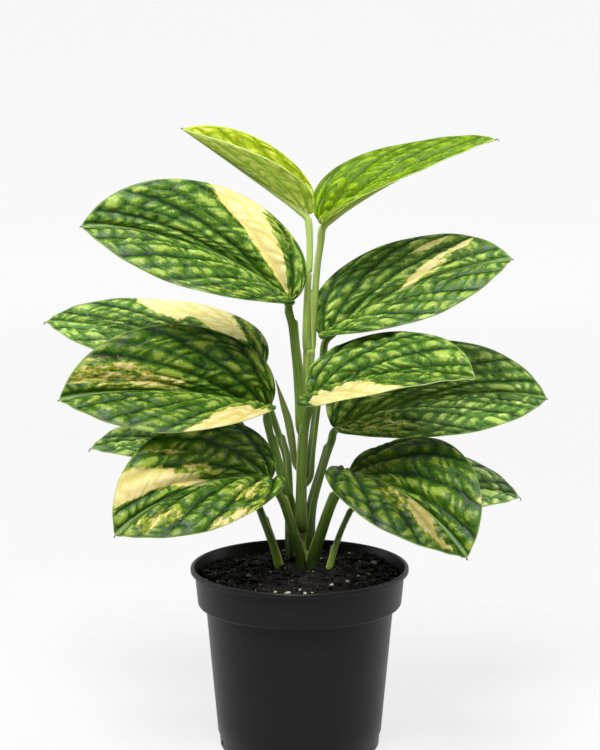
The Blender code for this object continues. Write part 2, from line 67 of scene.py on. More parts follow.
# Leaves in mm and degrees. Of two values the first is for the half on the left of the heading.
# base: where the blade begins. foot and top: the stalk's radii. drip: how far the tip reaches.
# sheath: how far up the stalk it ends. The shade pair makes each half's green lighter or darker:
# partly its own tone, partly painted light and shade for how brightly that half is lit, a lighter
# half also greyer.
LEAF_DEFAULTS = dict(arch=30, painted_light_and_tone=(0.0, 0.0), in_soil=False, drip=0.9, finish="mature",
                     relief=1.0, slot="leaf")
LEAVES = {
    "leaf_left_1": dict(
        base=(5, 10, 293.4), heading=180, pitch=35, droop=1, length=82, halves=(22, 23),
        rises=((68, 34), (68, 62)), arch=-40, foot=2.0, top=1.7, sheath=0.5, finish="youngest",
        relief=0.7, slot="young_leaf",
        stalk=((3.6, 5.6, 221.4), (3.5, 5.4, 234), (4.5, 6.4, 257), (5.4, 7.6, 269), (5.4, 9, 281),
               (4.8, 9.8, 289))),
    "leaf_left_2": dict(
        base=(-5, -3, 248), heading=187, pitch=42, droop=42, length=122, halves=(38, 38),
        rises=((-10, -45), (80, 80)), foot=3.3, top=1.9, sheath=0.88, painted_light_and_tone=(0.0, 0.1),
        stalk=((0.9, 5.2, 178), (0.2, 4, 193), (-1.1, 2, 210), (-2.4, 0, 222), (-4, -1.5, 235),
               (-5.8, -2.8, 243))),
    "leaf_left_3": dict(
        base=(-21, 22, 206), heading=166, pitch=19, droop=18, length=126, halves=(35, 35),
        rises=((-5, -22), (48, 25)), foot=2.4, top=1.7, sheath=0.7, painted_light_and_tone=(0.5, 0.3), in_soil=True,
        drip=2.2,
        stalk=((-5.4, 27, 84), (-5.6, 27, 97), (-6, 26, 115), (-6, 25, 134), (-7.2, 24, 155),
               (-10.7, 24, 167), (-15, 23, 181), (-20, 22, 198))),
    "leaf_left_4": dict(
        base=(-17, -6, 190), heading=198, pitch=20, droop=28, length=117, halves=(39, 40),
        rises=((0, -38), (78, 72)), foot=3.3, top=1.9, sheath=0.84, painted_light_and_tone=(-0.2, -0.36),
        stalk=((-3.9, 14.6, 116), (-4.5, 12.4, 126), (-5.6, 9, 135), (-7.9, 4, 144),
               (-11.2, 0, 157), (-15.1, -3, 172), (-17.6, -5, 184))),
    "leaf_left_5": dict(
        base=(-31, 22, 159), heading=157, pitch=8, droop=22, length=95, halves=(30, 30),
        rises=((-5, -8), (50, 25)), foot=3.0, top=1.7, sheath=0.56, painted_light_and_tone=(0.5, 0.5), in_soil=True,
        drip=2.2, finish="outer",
        stalk=((-7, 7, 84), (-10.5, 8, 97), (-13.5, 10, 108), (-17.4, 12, 118.5), (-21.2, 14, 128),
               (-26.8, 18, 143), (-30.4, 21, 153))),
    "leaf_left_6": dict(
        base=(-15, -10, 152), heading=214, pitch=15, droop=50, length=103, halves=(37, 38),
        rises=((-5, -36), (68, 68)), foot=3.0, top=2.0, sheath=0.83, painted_light_and_tone=(-0.2, -0.14),
        in_soil=True,
        stalk=((0.6, 9.5, 84), (0.6, 9, 97), (0.1, 8, 105), (-3.1, 5, 117.5), (-8.5, -1, 136),
               (-12.4, -6, 145), (-14.6, -9, 149))),
    "leaf_right_1": dict(
        base=(12, -3, 290.4), heading=-4, pitch=37, droop=21, length=103, halves=(29, 26),
        rises=((78, 16), (11, -3)), arch=15, foot=2.0, top=1.8, sheath=0.5, drip=2.2,
        finish="young", relief=0.7, slot="young_leaf",
        stalk=((6.8, 8.6, 221.4), (7.3, 8, 234), (8.7, 6.4, 257), (9.8, 4, 269), (11.2, 0.8, 279),
               (11.8, -1.6, 286))),
    "leaf_right_2": dict(
        base=(13.4, 13, 225.4), heading=-6, pitch=39, droop=30, length=112, halves=(34, 35),
        rises=((75, 42), (0, -40)), foot=2.2, top=1.8, sheath=0.8, painted_light_and_tone=(0.4, 0.0),
        stalk=((5.4, 13.6, 148), (6.6, 14.2, 162), (9.4, 14.8, 186), (11.4, 15, 205),
               (12.9, 14.4, 217), (13.4, 13.8, 221.4))),
    "leaf_right_3": dict(
        base=(6, -8, 197), heading=-34, pitch=24, droop=25, length=105, halves=(34, 39),
        rises=((60, 38), (-15, -8)), foot=3.5, top=2.0, sheath=0.81, painted_light_and_tone=(0.1, -0.14),
        stalk=((0.9, 6.8, 124), (0.9, 4.4, 141), (1.4, 0.4, 160), (2.6, -3, 177), (5, -6.6, 190))),
    "leaf_right_4": dict(
        base=(19, 19, 174), heading=14, pitch=22, droop=34, length=125, halves=(38, 38),
        rises=((70, 55), (-12, -32)), foot=3.4, top=1.9, sheath=0.88, painted_light_and_tone=(0.6, 0.5),
        stalk=((5, 14.4, 112), (6, 14.6, 126), (7.8, 15, 137), (13.2, 16.6, 155), (17.4, 18.6, 167))),
    "leaf_right_5": dict(
        base=(26, -16, 157.6), heading=-44, pitch=2, droop=46, length=93, halves=(41, 42),
        rises=((20, 52), (6, -10)), foot=3.5, top=2.3, sheath=0.82, painted_light_and_tone=(-0.26, -0.54),
        in_soil=True,
        stalk=((8, 9.5, 84), (7.6, 9, 97), (8, 8, 105), (11, 5, 116), (17.4, -4, 137),
               (23.4, -12.6, 150))),
    "leaf_right_6": dict(
        base=(29, 22, 129), heading=22, pitch=12, droop=28, length=104, halves=(35, 34),
        rises=((50, 32), (-5, -10)), foot=2.3, top=1.5, sheath=0.55, painted_light_and_tone=(1.3, 1.0),
        in_soil=True, drip=2.2, finish="outer",
        stalk=((13.5, 4.5, 84), (16.2, 6, 97), (18.4, 9, 106), (22.2, 14, 116), (26.8, 19.4, 125))),
}

# where leaves lack green: strength, softness of its edge in mm, and its outline in per cent of
# the length and of the half's width, which is positive on the left of the leaf's heading
VARIEGATION = {
    "leaf_left_2": (
        (1.0, 3.0, ((2, -4), (22, -29), (36, -54), (44, -66), (52, -89), (58, -130), (30, -130),
                    (30, -84), (21, -60), (11, -30))),
        (-0.75, 4.0, ((5, 55), (13, 45), (30, 75), (45, 80), (45, 120), (10, 120))),
        (-0.55, 3.0, ((30, -84), (26, -65), (12, -50), (15, -90))),
    ),
    "leaf_left_3": (
        (1.0, 3.0, ((64, -66), (64, -120), (30, -120), (20, -72), (11, -36), (20, -28), (30, -43),
                    (38, -57), (43, -38), (53, -46))),
        (-0.35, 4.0, ((20, -72), (11, -36), (2, -40), (5, -100))),
    ),
    "leaf_left_4": (
        (-0.1, 3.0, ((95, -35), (84, -52), (70, -43), (55, -29), (42, -17), (44, 2), (60, -2),
                     (78, -8), (97, -20))),
        (1.0, 3.5, ((50, 92), (37, 78), (25, 51), (15, 44), (4, 55), (0, 90), (20, 130), (50, 130))),
    ),
    "leaf_left_6": (
        (1.0, 3.0, ((93, -30), (88, -60), (81, -61), (75, -62), (68, -50), (58, -34), (48, -18),
                    (38, 4), (47, 4), (61, -15), (72, -22), (82, -25))),
        (0.0, 2.0, ((52, -38), (38, -28), (36, -10), (50, -18))),
        (0.2, 1.5, ((66, -72), (56, -64), (48, -50), (57, -55))),
        (-0.15, 3.0, ((32, 20), (25, 38), (17, 30), (15, 55), (24, 86), (30, 84), (33, 66),
                      (40, 50))),
        (0.05, 4.0, ((57, 72), (40, 76), (25, 86), (30, 120), (50, 120), (62, 88))),
        (-0.1, 3.0, ((87, 7), (75, 17), (62, 32), (68, 50), (83, 40), (92, 30))),
    ),
    "leaf_right_2": (
        (1.0, 1.0, ((39, -5), (50, 14), (61, 29), (74, 42), (84, 55), (80, 36), (70, 31), (60, 14),
                    (50, 0))),
        (-0.1, 2.0, ((60, 28), (70, 26), (68, 12), (60, 4), (58, 12))),
        (0.6, 1.2, ((54, 52), (61, 62), (68, 67), (75, 62), (70, 57), (61, 50))),
    ),
    "leaf_right_3": (
        (0.9, 3.5, ((12, -64), (20, -45), (34, -27), (44, -42), (50, -50), (60, -64), (66, -66),
                    (76, -70), (76, -130), (44, -130), (28, -94))),
    ),
    "leaf_right_4": (
        (-0.35, 3.0, ((3, 20), (12, -10), (30, -46), (33, -68), (20, -84), (8, -66), (0, -30))),
    ),
    "leaf_right_5": (
        (-0.25, 2.5, ((25, -2), (47, 2), (58, -38), (48, -42), (38, -34))),
        (0.9, 2.5, ((46, 2), (62, -5), (68, -5), (82, -22), (93, -17), (90, -27), (82, -35),
                    (73, -38), (62, -32), (55, -20))),
        (0.3, 1.0, ((76, 55), (80, 64), (83, 58), (79, 54))),
    ),
}

# fine surface of the blades
ALONG_FACES = 108
ACROSS_FACES = 60
CROWD_AT_RIB = 1.25
BLADE_THICKNESS = 0.45 * MM
PILLOW_STEP = 7.2 * MM              # from one swelling of a row to the next
PILLOW_WIDTH = 12.0 * MM            # a wider row holds two or three swellings side by side
PILLOW_SLANT = 0.8
PILLOW_EDGE = 2.0                   # how steeply a swelling falls off to its valleys
PILLOW_HEIGHT = 2.0 * MM
VEIN_EDGE = 10.0                    # how narrow the dark veins between the rows are
VEIN_WAVE = 0.014                   # how far a vein waves, as a share of the rows' run
WANDER = 1.2                        # how unevenly the swellings follow each other
WANDER_SIZE = 13 * MM
RIDGE_SHARE = 0.9                   # of the CAD part's swelling
WRINKLE = 0.3 * MM
WRINKLE_SIZE = 2.6 * MM
CALM_BY_RIB = 7.0 * MM              # the relief fades over this width at the midrib
CALM_BY_EDGE = 0.08                 # and over this share of the half at the margin
CREAM_CALM = 0.7                    # how much flatter the cream parts are
MARBLE_SIZE = 9 * MM
GUTTER_DEPTH = 0.1 * MM             # the groove along the midrib
GUTTER_WIDTH = 1.5 * MM
MIDRIB_HEIGHT = 0.6 * MM
MIDRIB_WIDTH = 0.5 * MM

# light that passes through a blade: how deep, and its colour
GLOW = dict(subsurface_scale=3.0 * MM, subsurface_radius=(0.95, 1.0, 0.3))

# stem and spear, as in the CAD part
STEM_ROUTE = ((3.2, 16.5, 84), (3, 15.6, 97.5), (2, 14, 113), (1.2, 12.6, 127), (1, 11, 153),
              (1.8, 10, 170), (2.8, 9, 186), (4, 8, 203), (5.2, 7.1, 220.5))
STEM_NODES = (128, 186, 218)
STEM_RADIUS = 2.9 * MM
NODE_SWELL = 0.5 * MM
NODE_REACH = 5 * MM
SPEAR_ROUTE = ((-2.7, 13.1, 156), (-3.9, 12.6, 166), (-6.1, 11, 179.5), (-8.8, 10, 189),
               (-13, 9, 203))
SPEAR_FOOT = 1.3 * MM
SPEAR_SWELL = 1.4 * MM
SPEAR_TIP = 0.3 * MM

# stalks and stem, fine surface
STALK_STEP = 1.3 * MM
STEM_STEP = 1.0 * MM
STALK_SIDES = 28
STEM_SIDES = 32
ROOTED_IN_STEM = 6.0 * MM           # how far below its foot a clasping stalk begins
RIB_SHARES = (0.0, 0.07, 0.15, 0.3, 0.45, 0.6, 0.75, 0.9, 0.99)
RIB_SINKS = (1.0, 0.75, 0.5, 0.42, 0.34, 0.26, 0.18, 0.1, 0.02)
KNEE_SWELL = 0.16                   # the knee under the blade, as a share of the radius
KNEE_PLACE = 0.95
KNEE_REACH = 0.07
GROOVE = 0.2
GROOVE_SPREAD = 0.5
WING = 1.0 * MM
WING_ANGLE = 0.85
WING_SPREAD = 0.2
SHEATH_RUN_OUT = 1.6
RING_DEPTH = 0.25 * MM
RING_WIDTH = 0.5 * MM

# pot, as in the CAD part
POT_HEIGHT = 101.5 * MM
RIM_RADIUS = 59.7 * MM
RIM_WIDTH = 2.1 * MM
RIM_DEPTH = 2.8 * MM
COLLAR_TOP_RADIUS = 57.4 * MM
COLLAR_LOW_RADIUS = 55.8 * MM
COLLAR_DEPTH = 21.0 * MM
BODY_TOP_RADIUS = 51.4 * MM
BODY_LOW_RADIUS = 45.0 * MM
BODY_STEP = 9.0 * MM
FOOT_RADIUS = 44.2 * MM
FOOT_HEIGHT = 7.0 * MM
WALL = 1.3 * MM
FLOOR = 1.8 * MM
CORNER = 1.5 * MM
SMALL_CORNER = 0.5 * MM
POT_TURNS = 160
DRAIN_SLOTS = 12
DRAIN_WIDTH = 3.0 * MM
DRAIN_HEIGHT = 4.0 * MM
DRAIN_CUT = 8 * MM

# soil
SOIL_RADIUS = 0.3 * COLLAR_LOW_RADIUS + 0.7 * COLLAR_TOP_RADIUS - WALL - 0.3 * MM
SOIL_EDGE_BELOW_RIM = 6.5 * MM
SOIL_MOUND = 3.0 * MM
SOIL_RELIEF = 0.9 * MM
SOIL_GAP = 0.35 * MM                # between the soil and the pot's wall below the collar
SOIL_GRAIN = 0.55 * MM
SOIL_GRAIN_SIZE = 1.6 * MM
SOIL_RINGS = 130
SOIL_SIDES = 320
SOIL_TOP_SHARE = 0.85
CRUMBS = 900
PERLITE = 66
FIBRES = 36
FIBRE_SIDES = 5
FIBRE_STEPS = 6

# world light: axis (0 right, 1 away, 2 up), from and to along it, strength there
WORLD_RAMPS = ((2, -0.1, 0.9, 0.04, 0.3), (1, -0.7, 0.6, 0.0, 0.2))
FLOOR_GLOW = 0.74
BACKDROP_GLOW = 0.1                 # added to the floor's towards the back
FLOOR_FRONT = -2.2
FLOOR_RUN = 7.0
FLOOR_WIDTH = 8
FLOOR_DROP = 0.0002
BEND_FROM = 1.6
BEND_RADIUS = 1.2
# lamps: place, size and power
LIGHTS_AIM = Vector((0.0, 0.0, 0.18))
LIGHTS = (
    ("overhead", (-0.15, -0.75, 1.4), (0.6, 0.6), 32.0),
    ("left", (-1.4, 0.3, 0.5), (0.5, 1.4), 9.0),
    ("right", (1.4, 0.3, 0.5), (0.5, 1.4), 9.0),
)

# greens and creams of the blades' tops, from their veins to their margins. The dark valley tones are
# partly painted shade in the sunken veins, the crown tones and pale flecks partly painted light and
# painted highlight on the swellings, the low cream partly painted shade.
MATURE = dict(valley_with_painted_shade=(18, 46, 6), flank=(60, 98, 20), crown=(142, 166, 66), fleck_with_painted_highlight=(184, 200, 108),
              cream=(228, 213, 153), cream_low=(204, 190, 112), half=(162, 172, 58),
              groove=(62, 100, 34), rib=(128, 160, 84), rim=(132, 158, 84))
LIME = dict(valley_with_painted_shade=(54, 82, 1), flank=(84, 116, 3), crown=(122, 152, 12), fleck_with_painted_highlight=(152, 176, 40),
            cream=(236, 234, 150), cream_low=(214, 214, 116), half=(180, 204, 84),
            groove=(80, 122, 20), rib=(150, 180, 70), rim=(160, 184, 76))
PALE_LIME = dict(LIME, valley_with_painted_shade=(100, 122, 10), flank=(134, 152, 26), crown=(178, 188, 74),
                 fleck_with_painted_highlight=(206, 210, 120), half=(200, 216, 96), groove=(140, 172, 30),
                 rib=(196, 214, 100), rim=(206, 220, 120))
MARBLING_STRETCH = (4.0, 0.8, 1.0)
MARBLING_REACH = 3.6


class Nodes:
    """The nodes of a material or of the world, added one call at a time."""

    def __init__(self, owner):
        owner.use_nodes = True
        self.tree = owner.node_tree

    def set(self, node, sockets):
        for key, value in sockets.items():
            if isinstance(value, bpy.types.NodeSocket):
                self.tree.links.new(value, node.inputs[key])
            else:
                node.inputs[key].default_value = value

    def node(self, kind, sockets, **settings):
        made = self.tree.nodes.new(kind)
        for key, value in settings.items():
            setattr(made, key, value)
        self.set(made, sockets)
        return made

    def maths(self, operation, *values):
        return self.node("ShaderNodeMath", dict(enumerate(values)), operation=operation).outputs[0]

    def sum(self, first, *others):
        for value in others:
            first = self.maths("ADD", first, value)
        return first

    def step(self, value, low, high, least=0.0, most=1.0):
        """The least value below low, the most above high and smooth between."""
        sockets = dict(enumerate((value, low, high, least, most)))
        return self.node("ShaderNodeMapRange", sockets, interpolation_type="SMOOTHSTEP").outputs[0]

    def place(self, space):
        return self.node("ShaderNodeTexCoord", {}).outputs[space]

    def split(self, vector):
        return self.node("ShaderNodeSeparateXYZ", {0: vector}).outputs


class Finish(Nodes):
    """A Principled material."""

    def __init__(self, name):
        self.made = bpy.data.materials.new(name)
        super().__init__(self.made)
        self.ground = self.place("Object")

    def attribute(self, name, output="Fac"):
        return self.node("ShaderNodeAttribute", {}, attribute_name=name).outputs[output]

    def about(self, value, reach):
        """A noise of mean 0.5 turned into one of mean 0, scaled to the given reach."""
        return self.maths("MULTIPLY", self.maths("SUBTRACT", value, 0.5), reach)

    def mix(self, factor, first, second):
        """Two tones mixed, each a socket or an sRGB colour 0..255."""
        sockets = {0: factor, 6: linear(first), 7: linear(second)}
        return self.node("ShaderNodeMix", sockets, data_type="RGBA").outputs[2]

    def over(self, base, mask, share, tone):
        """The base with a tone laid over it where the mask is, by that share."""
        return self.mix(self.maths("MULTIPLY", mask, share), base, tone)

    def noise(self, scale, detail, roughness, place=None):
        sockets = {"Vector": place or self.ground, "Scale": scale, "Detail": detail,
                   "Roughness": roughness}
        return self.node("ShaderNodeTexNoise", sockets).outputs["Fac"]

    def streaks(self, place, stretch):
        """Noise drawn out along a piece's own directions."""
        place = self.node("ShaderNodeMapping", {0: place, 3: stretch}).outputs[0]
        return self.noise(1.0, 4, 0.6, place)

    def coat(self, base, roughness, *bump, gloss=0.5, **others):
        """Sets the shader's own sockets. A bump is a height, its strength and its distance."""
        sockets = {"Base Color": base, "Roughness": roughness, "Specular IOR Level": gloss}
        for key, value in others.items():
            sockets[key.replace("_", " ").title()] = value
        if bump:
            height = dict(zip(("Height", "Strength", "Distance"), bump))
            sockets["Normal"] = self.node("ShaderNodeBump", height).outputs[0]
        self.set(self.tree.nodes["Principled BSDF"], sockets)
        return self.made


def linear(tone):
    """An sRGB colour 0..255 as the linear one that shaders take; a socket stays as it is."""
    if not isinstance(tone, tuple):
        return tone
    return (*(((c / 255 + 0.055) / 1.055) ** 2.4 if c > 10 else c / 3295 for c in tone), 1.0)


def in_metres(points):
    return [tuple(c * MM for c in p) for p in points]


def smooth_route(points, step):
    """A smooth curve through the given points, read off about every step metres."""
    pts = [Vector(p) for p in points]
    pts = [2 * pts[0] - pts[1]] + pts + [2 * pts[-1] - pts[-2]]
    route = []
    for i in range(1, len(pts) - 2):
        before, here, after, beyond = pts[i - 1:i + 3]
        count = max(1, round((after - here).length / step))
        for k in range(count):
            t = k / count
            route.append(0.5 * (2 * here + (after - before) * t
                                + (2 * before - 5 * here + 4 * after - beyond) * t * t
                                + (3 * here - before - 3 * after + beyond) * t ** 3))
    return np.array([tuple(p) for p in (*route, pts[-2])])


def new_object(name, data, *finishes):
    made = bpy.data.objects.new(name, data)
    bpy.context.scene.collection.objects.link(made)
    for finish in finishes:
        data.materials.append(finish)
    return made


def add_piece(name, mesh, finishes, node=None):
    """A piece on the root body, in place of a CAD node where one is given."""
    piece = new_object(name, mesh, *finishes)
    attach(piece, "root")
    if node:
        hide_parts(node)


@contextmanager
def edited(mesh):
    """The mesh to be changed, which is written back at the end."""
    bm = bmesh.new()
    bm.from_mesh(mesh)
    yield bm
    bm.to_mesh(mesh)
    bm.free()


def evaluated(thing):
    """What an object's modifiers make of its mesh. The object is removed."""
    bpy.context.view_layer.update()
    graph = bpy.context.evaluated_depsgraph_get()
    mesh = bpy.data.meshes.new_from_object(thing.evaluated_get(graph))
    bpy.data.objects.remove(thing, do_unlink=True)
    return mesh


def grid_mesh(name, columns, rows):
    """A flat grid and the place of each vertex in it, both from 0 to 1."""
    mesh = bpy.data.meshes.new(name)
    with edited(mesh) as bm:
        bmesh.ops.create_grid(bm, x_segments=columns, y_segments=rows, size=1.0)
    flat = np.empty(len(mesh.vertices) * 3, dtype=np.float32)
    mesh.vertices.foreach_get("co", flat)
    flat = np.clip((flat.reshape(-1, 3).astype(float) + 1) / 2, 0, 1)
    return mesh, flat[:, 0], flat[:, 1]


def place_vertices(mesh, places):
    mesh.vertices.foreach_set("co", np.asarray(places, dtype=np.float32).ravel())
    mesh.update()


def add_attribute(mesh, name, values):
    """A number, or three, for each vertex, which the materials read."""
    values = np.asarray(values, dtype=np.float32)
    if values.ndim == 1:
        mesh.attributes.new(name, "FLOAT", "POINT").data.foreach_set("value", values)
    else:
        made = mesh.attributes.new(name, "FLOAT_VECTOR", "POINT")
        made.data.foreach_set("vector", values.ravel())


def weld(mesh, closed, distance=0.004 * MM):
    """Merges doubled points; a closed surface's faces are turned outwards too."""
    with edited(mesh) as bm:
        bmesh.ops.remove_doubles(bm, verts=bm.verts, dist=distance)
        bmesh.ops.dissolve_degenerate(bm, edges=bm.edges, dist=distance)
        if closed:
            bmesh.ops.recalc_face_normals(bm, faces=bm.faces)


def close_ends(mesh):
    """Turns a tube with open ends into a closed, smooth solid."""
    with edited(mesh) as bm:
        bmesh.ops.remove_doubles(bm, verts=bm.verts, dist=0.01 * MM)
        bmesh.ops.holes_fill(bm, edges=[e for e in bm.edges if e.is_boundary], sides=0)
        bmesh.ops.recalc_face_normals(bm, faces=bm.faces)
    mesh.shade_smooth()


def route_lengths(route):
    steps = np.linalg.norm(np.diff(route, axis=0), axis=1)
    return np.concatenate([[0.0], np.cumsum(steps)])


def unit(vectors):
    return vectors / np.linalg.norm(vectors, axis=-1, keepdims=True)


def smooth(values):
    """Smooth step of values cut off to 0..1."""
    values = np.clip(values, 0, 1)
    return values * values * (3 - 2 * values)


# The blade's shape: the CAD part's formulas, for many points at a time.


def margin(m):
    """The blade's outline, along and across, at shares of its run."""
    order = len(MARGIN) - 1
    along = np.zeros_like(m)
    across = np.zeros_like(m)
    for i, (run, reach) in enumerate(MARGIN):
        term = math.comb(order, i) * m ** i * (1 - m) ** (order - i)
        along += term * run
        across += term * reach
    return along, across


def blade_share(line, out):
    """Along and across shares of places out on lines that fan from the midrib to the margin."""
    start = np.maximum(0.0, (line - FAN) / (1 - FAN)) ** CROWDING
    edge_along, edge_across = margin(1 - (1 - line ** LOBE_SPREAD) ** EDGE_CROWDING)
    bend = 2 * out * (1 - out)
    along = ((1 - out) ** 2 * start + bend * (start + VEIN_FORWARD * (edge_along - start))
             + out * out * edge_along)
    across = (bend * VEIN_OUTWARD + out * out) * edge_across
    return along, across


def midrib(leaf, along):
    """Point, forward and up axes of the midrib at each share of its length."""
    heading = math.radians(leaf["heading"])
    forward = np.array((math.cos(heading), math.sin(heading), 0.0))
    up = np.array((0.0, 0.0, 1.0))
    pitch = math.radians(leaf["pitch"])
    droop = math.radians(leaf["droop"])
    bent = (pitch - droop * np.maximum(0.0, along))[:, None]
    length = leaf["length"] * MM
    run = (math.sin(pitch) - np.sin(bent)) / droop * length
    rise = (np.cos(bent) - math.cos(pitch)) / droop * length
    tangent = forward * np.cos(bent) + up * np.sin(bent)
    normal = up * np.cos(bent) - forward * np.sin(bent)
    place = np.array(leaf["base"]) * MM + forward * run + up * rise
    return place + tangent * length * np.minimum(0.0, along)[:, None], tangent, normal


def half_slope(leaf, along, left):
    """How steeply each half leaves the midrib."""
    rises = np.where(left[:, None], *leaf["rises"])
    ease = 1 - (1 - np.clip(along, 0, 1)) ** 2
    return np.radians(rises[:, 0] + (rises[:, 1] - rises[:, 0]) * ease + leaf["arch"] / 2)


def keel(leaf, along):
    """Direction straight out of the fold under the midrib."""
    _, tangent, normal = midrib(leaf, along)
    left, right = (half_slope(leaf, along, np.full(len(along), side))[:, None]
                   for side in (True, False))
    inward = np.cross(normal, tangent) * (np.cos(left) - np.cos(right))
    inward += normal * (np.sin(left) + np.sin(right))
    folded = (np.sum(inward * normal, axis=1) > 0.2)[:, None]
    return np.where(folded, -unit(inward), -normal)


def blade_sheet(leaf, along, across, left):
    """World place and upward face direction of blade points given as shares."""
    place, tangent, normal = midrib(leaf, along)
    sideways = np.cross(normal, tangent) * np.where(left, 1, -1)[:, None]
    half = np.where(left, *leaf["halves"]) * MM
    slope = half_slope(leaf, along, left)
    turn = math.radians(leaf["arch"]) * across / 2
    reach = (across * half * np.sinc(turn / math.pi))[:, None]
    lie = (slope - turn)[:, None]
    place = place + reach * (sideways * np.cos(lie) + normal * np.sin(lie))
    lie = (slope - 2 * turn)[:, None]
    return place, normal * np.cos(lie) - sideways * np.sin(lie)


def ridge_height(line, out):
    """The CAD part's swelling of the blade between its sunken veins."""
    between = np.sin(math.pi * VEIN_PAIRS * line) ** 2
    fade = np.sin(math.pi * np.minimum(1.0, 0.15 + 0.75 * out) * np.minimum(1.0, 4 * out))
    fade = np.maximum(0.25 * np.minimum(1.0, 4 * out), fade)
    return between * fade * np.minimum(1.0, 6 * (1 - line))


def row_measures(leaf, row, side):
    """Along one row from the midrib: how far it has run, and how wide it is there, in metres."""
    half = leaf["halves"][0 if side else 1] * MM
    shares = np.linspace(0, 1, 41)
    sides = []
    for line in (row, row + 0.5, row + 1):
        along, reach = blade_share(np.full_like(shares, line / VEIN_PAIRS), shares)
        sides.append(np.stack([along * leaf["length"] * MM, reach * half], axis=1))
    inner, middle, outer = sides
    return shares, route_lengths(middle), np.linalg.norm(outer - inner, axis=1)


def hump(share, edge):
    """0 at both ends of a stretch and 1 in its middle, steeper at the ends for a higher edge."""
    return 1 - np.abs(2 * share - 1) ** edge


def pillows(leaf, line, out, left, seed):
    """The rounded swellings of each row: the row's height, theirs and their tint, all 0..1, and
    how far along its row each place is."""
    wave = np.array([noise.noise(Vector((a * 8, b * 7, seed + 5 * c)))
                     for a, b, c in zip(line, out, left)])
    line = np.clip(line + VEIN_WAVE * wave * np.minimum(1, 5 * out), 0, 1)
    row = np.minimum(np.floor(VEIN_PAIRS * line), VEIN_PAIRS - 1)
    inside = VEIN_PAIRS * line - row
    swell, tint, travel = np.zeros((3, len(out)))
    for side in (False, True):
        for k in range(VEIN_PAIRS):
            here = (row == k) & (left == side)
            within = inside[here]
            shares, run, width = row_measures(leaf, k, side)
            gone = np.interp(out[here], shares, run)
            wander = np.array([noise.noise(Vector((k + a, b / WANDER_SIZE, seed + 10 * side)))
                               for a, b in zip(within, gone)])
            shift = math.sin(k * 12.9 + side * 4.1 + seed) * 0.5
            phase = gone / PILLOW_STEP + PILLOW_SLANT * (within - 0.5) + shift + WANDER * wander
            cell = np.floor(phase)
            room = np.interp((cell + 0.5 - shift) * PILLOW_STEP, run, width)
            lanes = np.clip(np.round(room / PILLOW_WIDTH), 1, 3)
            lane = np.minimum(np.floor(within * lanes), lanes - 1)
            spot = cell * 12.99 + k * 78.23 + lane * 31.7 + side * 37.7 + seed
            swell[here] = hump(phase - cell, PILLOW_EDGE) * hump(within * lanes - lane, PILLOW_EDGE)
            tint[here] = np.modf(np.abs(np.sin(spot) * 437.5))[0]
            travel[here] = gone
    return hump(inside, VEIN_EDGE), swell, tint, travel


def distance_to_outline(points, outline):
    """Distance of each point to a closed outline, positive inside it."""
    corners = np.array(outline, dtype=float)
    nearest = np.full(len(points), np.inf)
    inside = np.zeros(len(points), bool)
    for a, b in zip(corners, np.roll(corners, -1, axis=0)):
        edge = b - a
        share = np.clip((points - a) @ edge / max(edge @ edge, 1e-12), 0, 1)
        gap = np.linalg.norm(points - a - share[:, None] * edge, axis=1)
        nearest = np.minimum(nearest, gap)
        crosses = (a[1] > points[:, 1]) != (b[1] > points[:, 1])
        if edge[1]:
            at = a[0] + (points[:, 1] - a[1]) * edge[0] / edge[1]
            inside ^= crosses & (points[:, 0] < at)
    return np.where(inside, nearest, -nearest)


def cream_field(leaf, along, across, left, patches):
    """Where the blade lacks green: -1 nowhere, 0 half marbled, 1 all cream."""
    length = leaf["length"]
    left_half, right_half = leaf["halves"]
    points = np.stack([along * length, across * np.where(left, left_half, -right_half)], axis=1)
    field = np.full(len(along), -1.0)
    for strength, softness, outline in patches:
        corners = [(x / 100 * length, y / 100 * (left_half if y > 0 else right_half))
                   for x, y in outline]
        depth = distance_to_outline(points, corners)
        field = np.maximum(field, (strength + 1) * smooth(0.5 + depth / (2 * softness)) - 1)
    return field


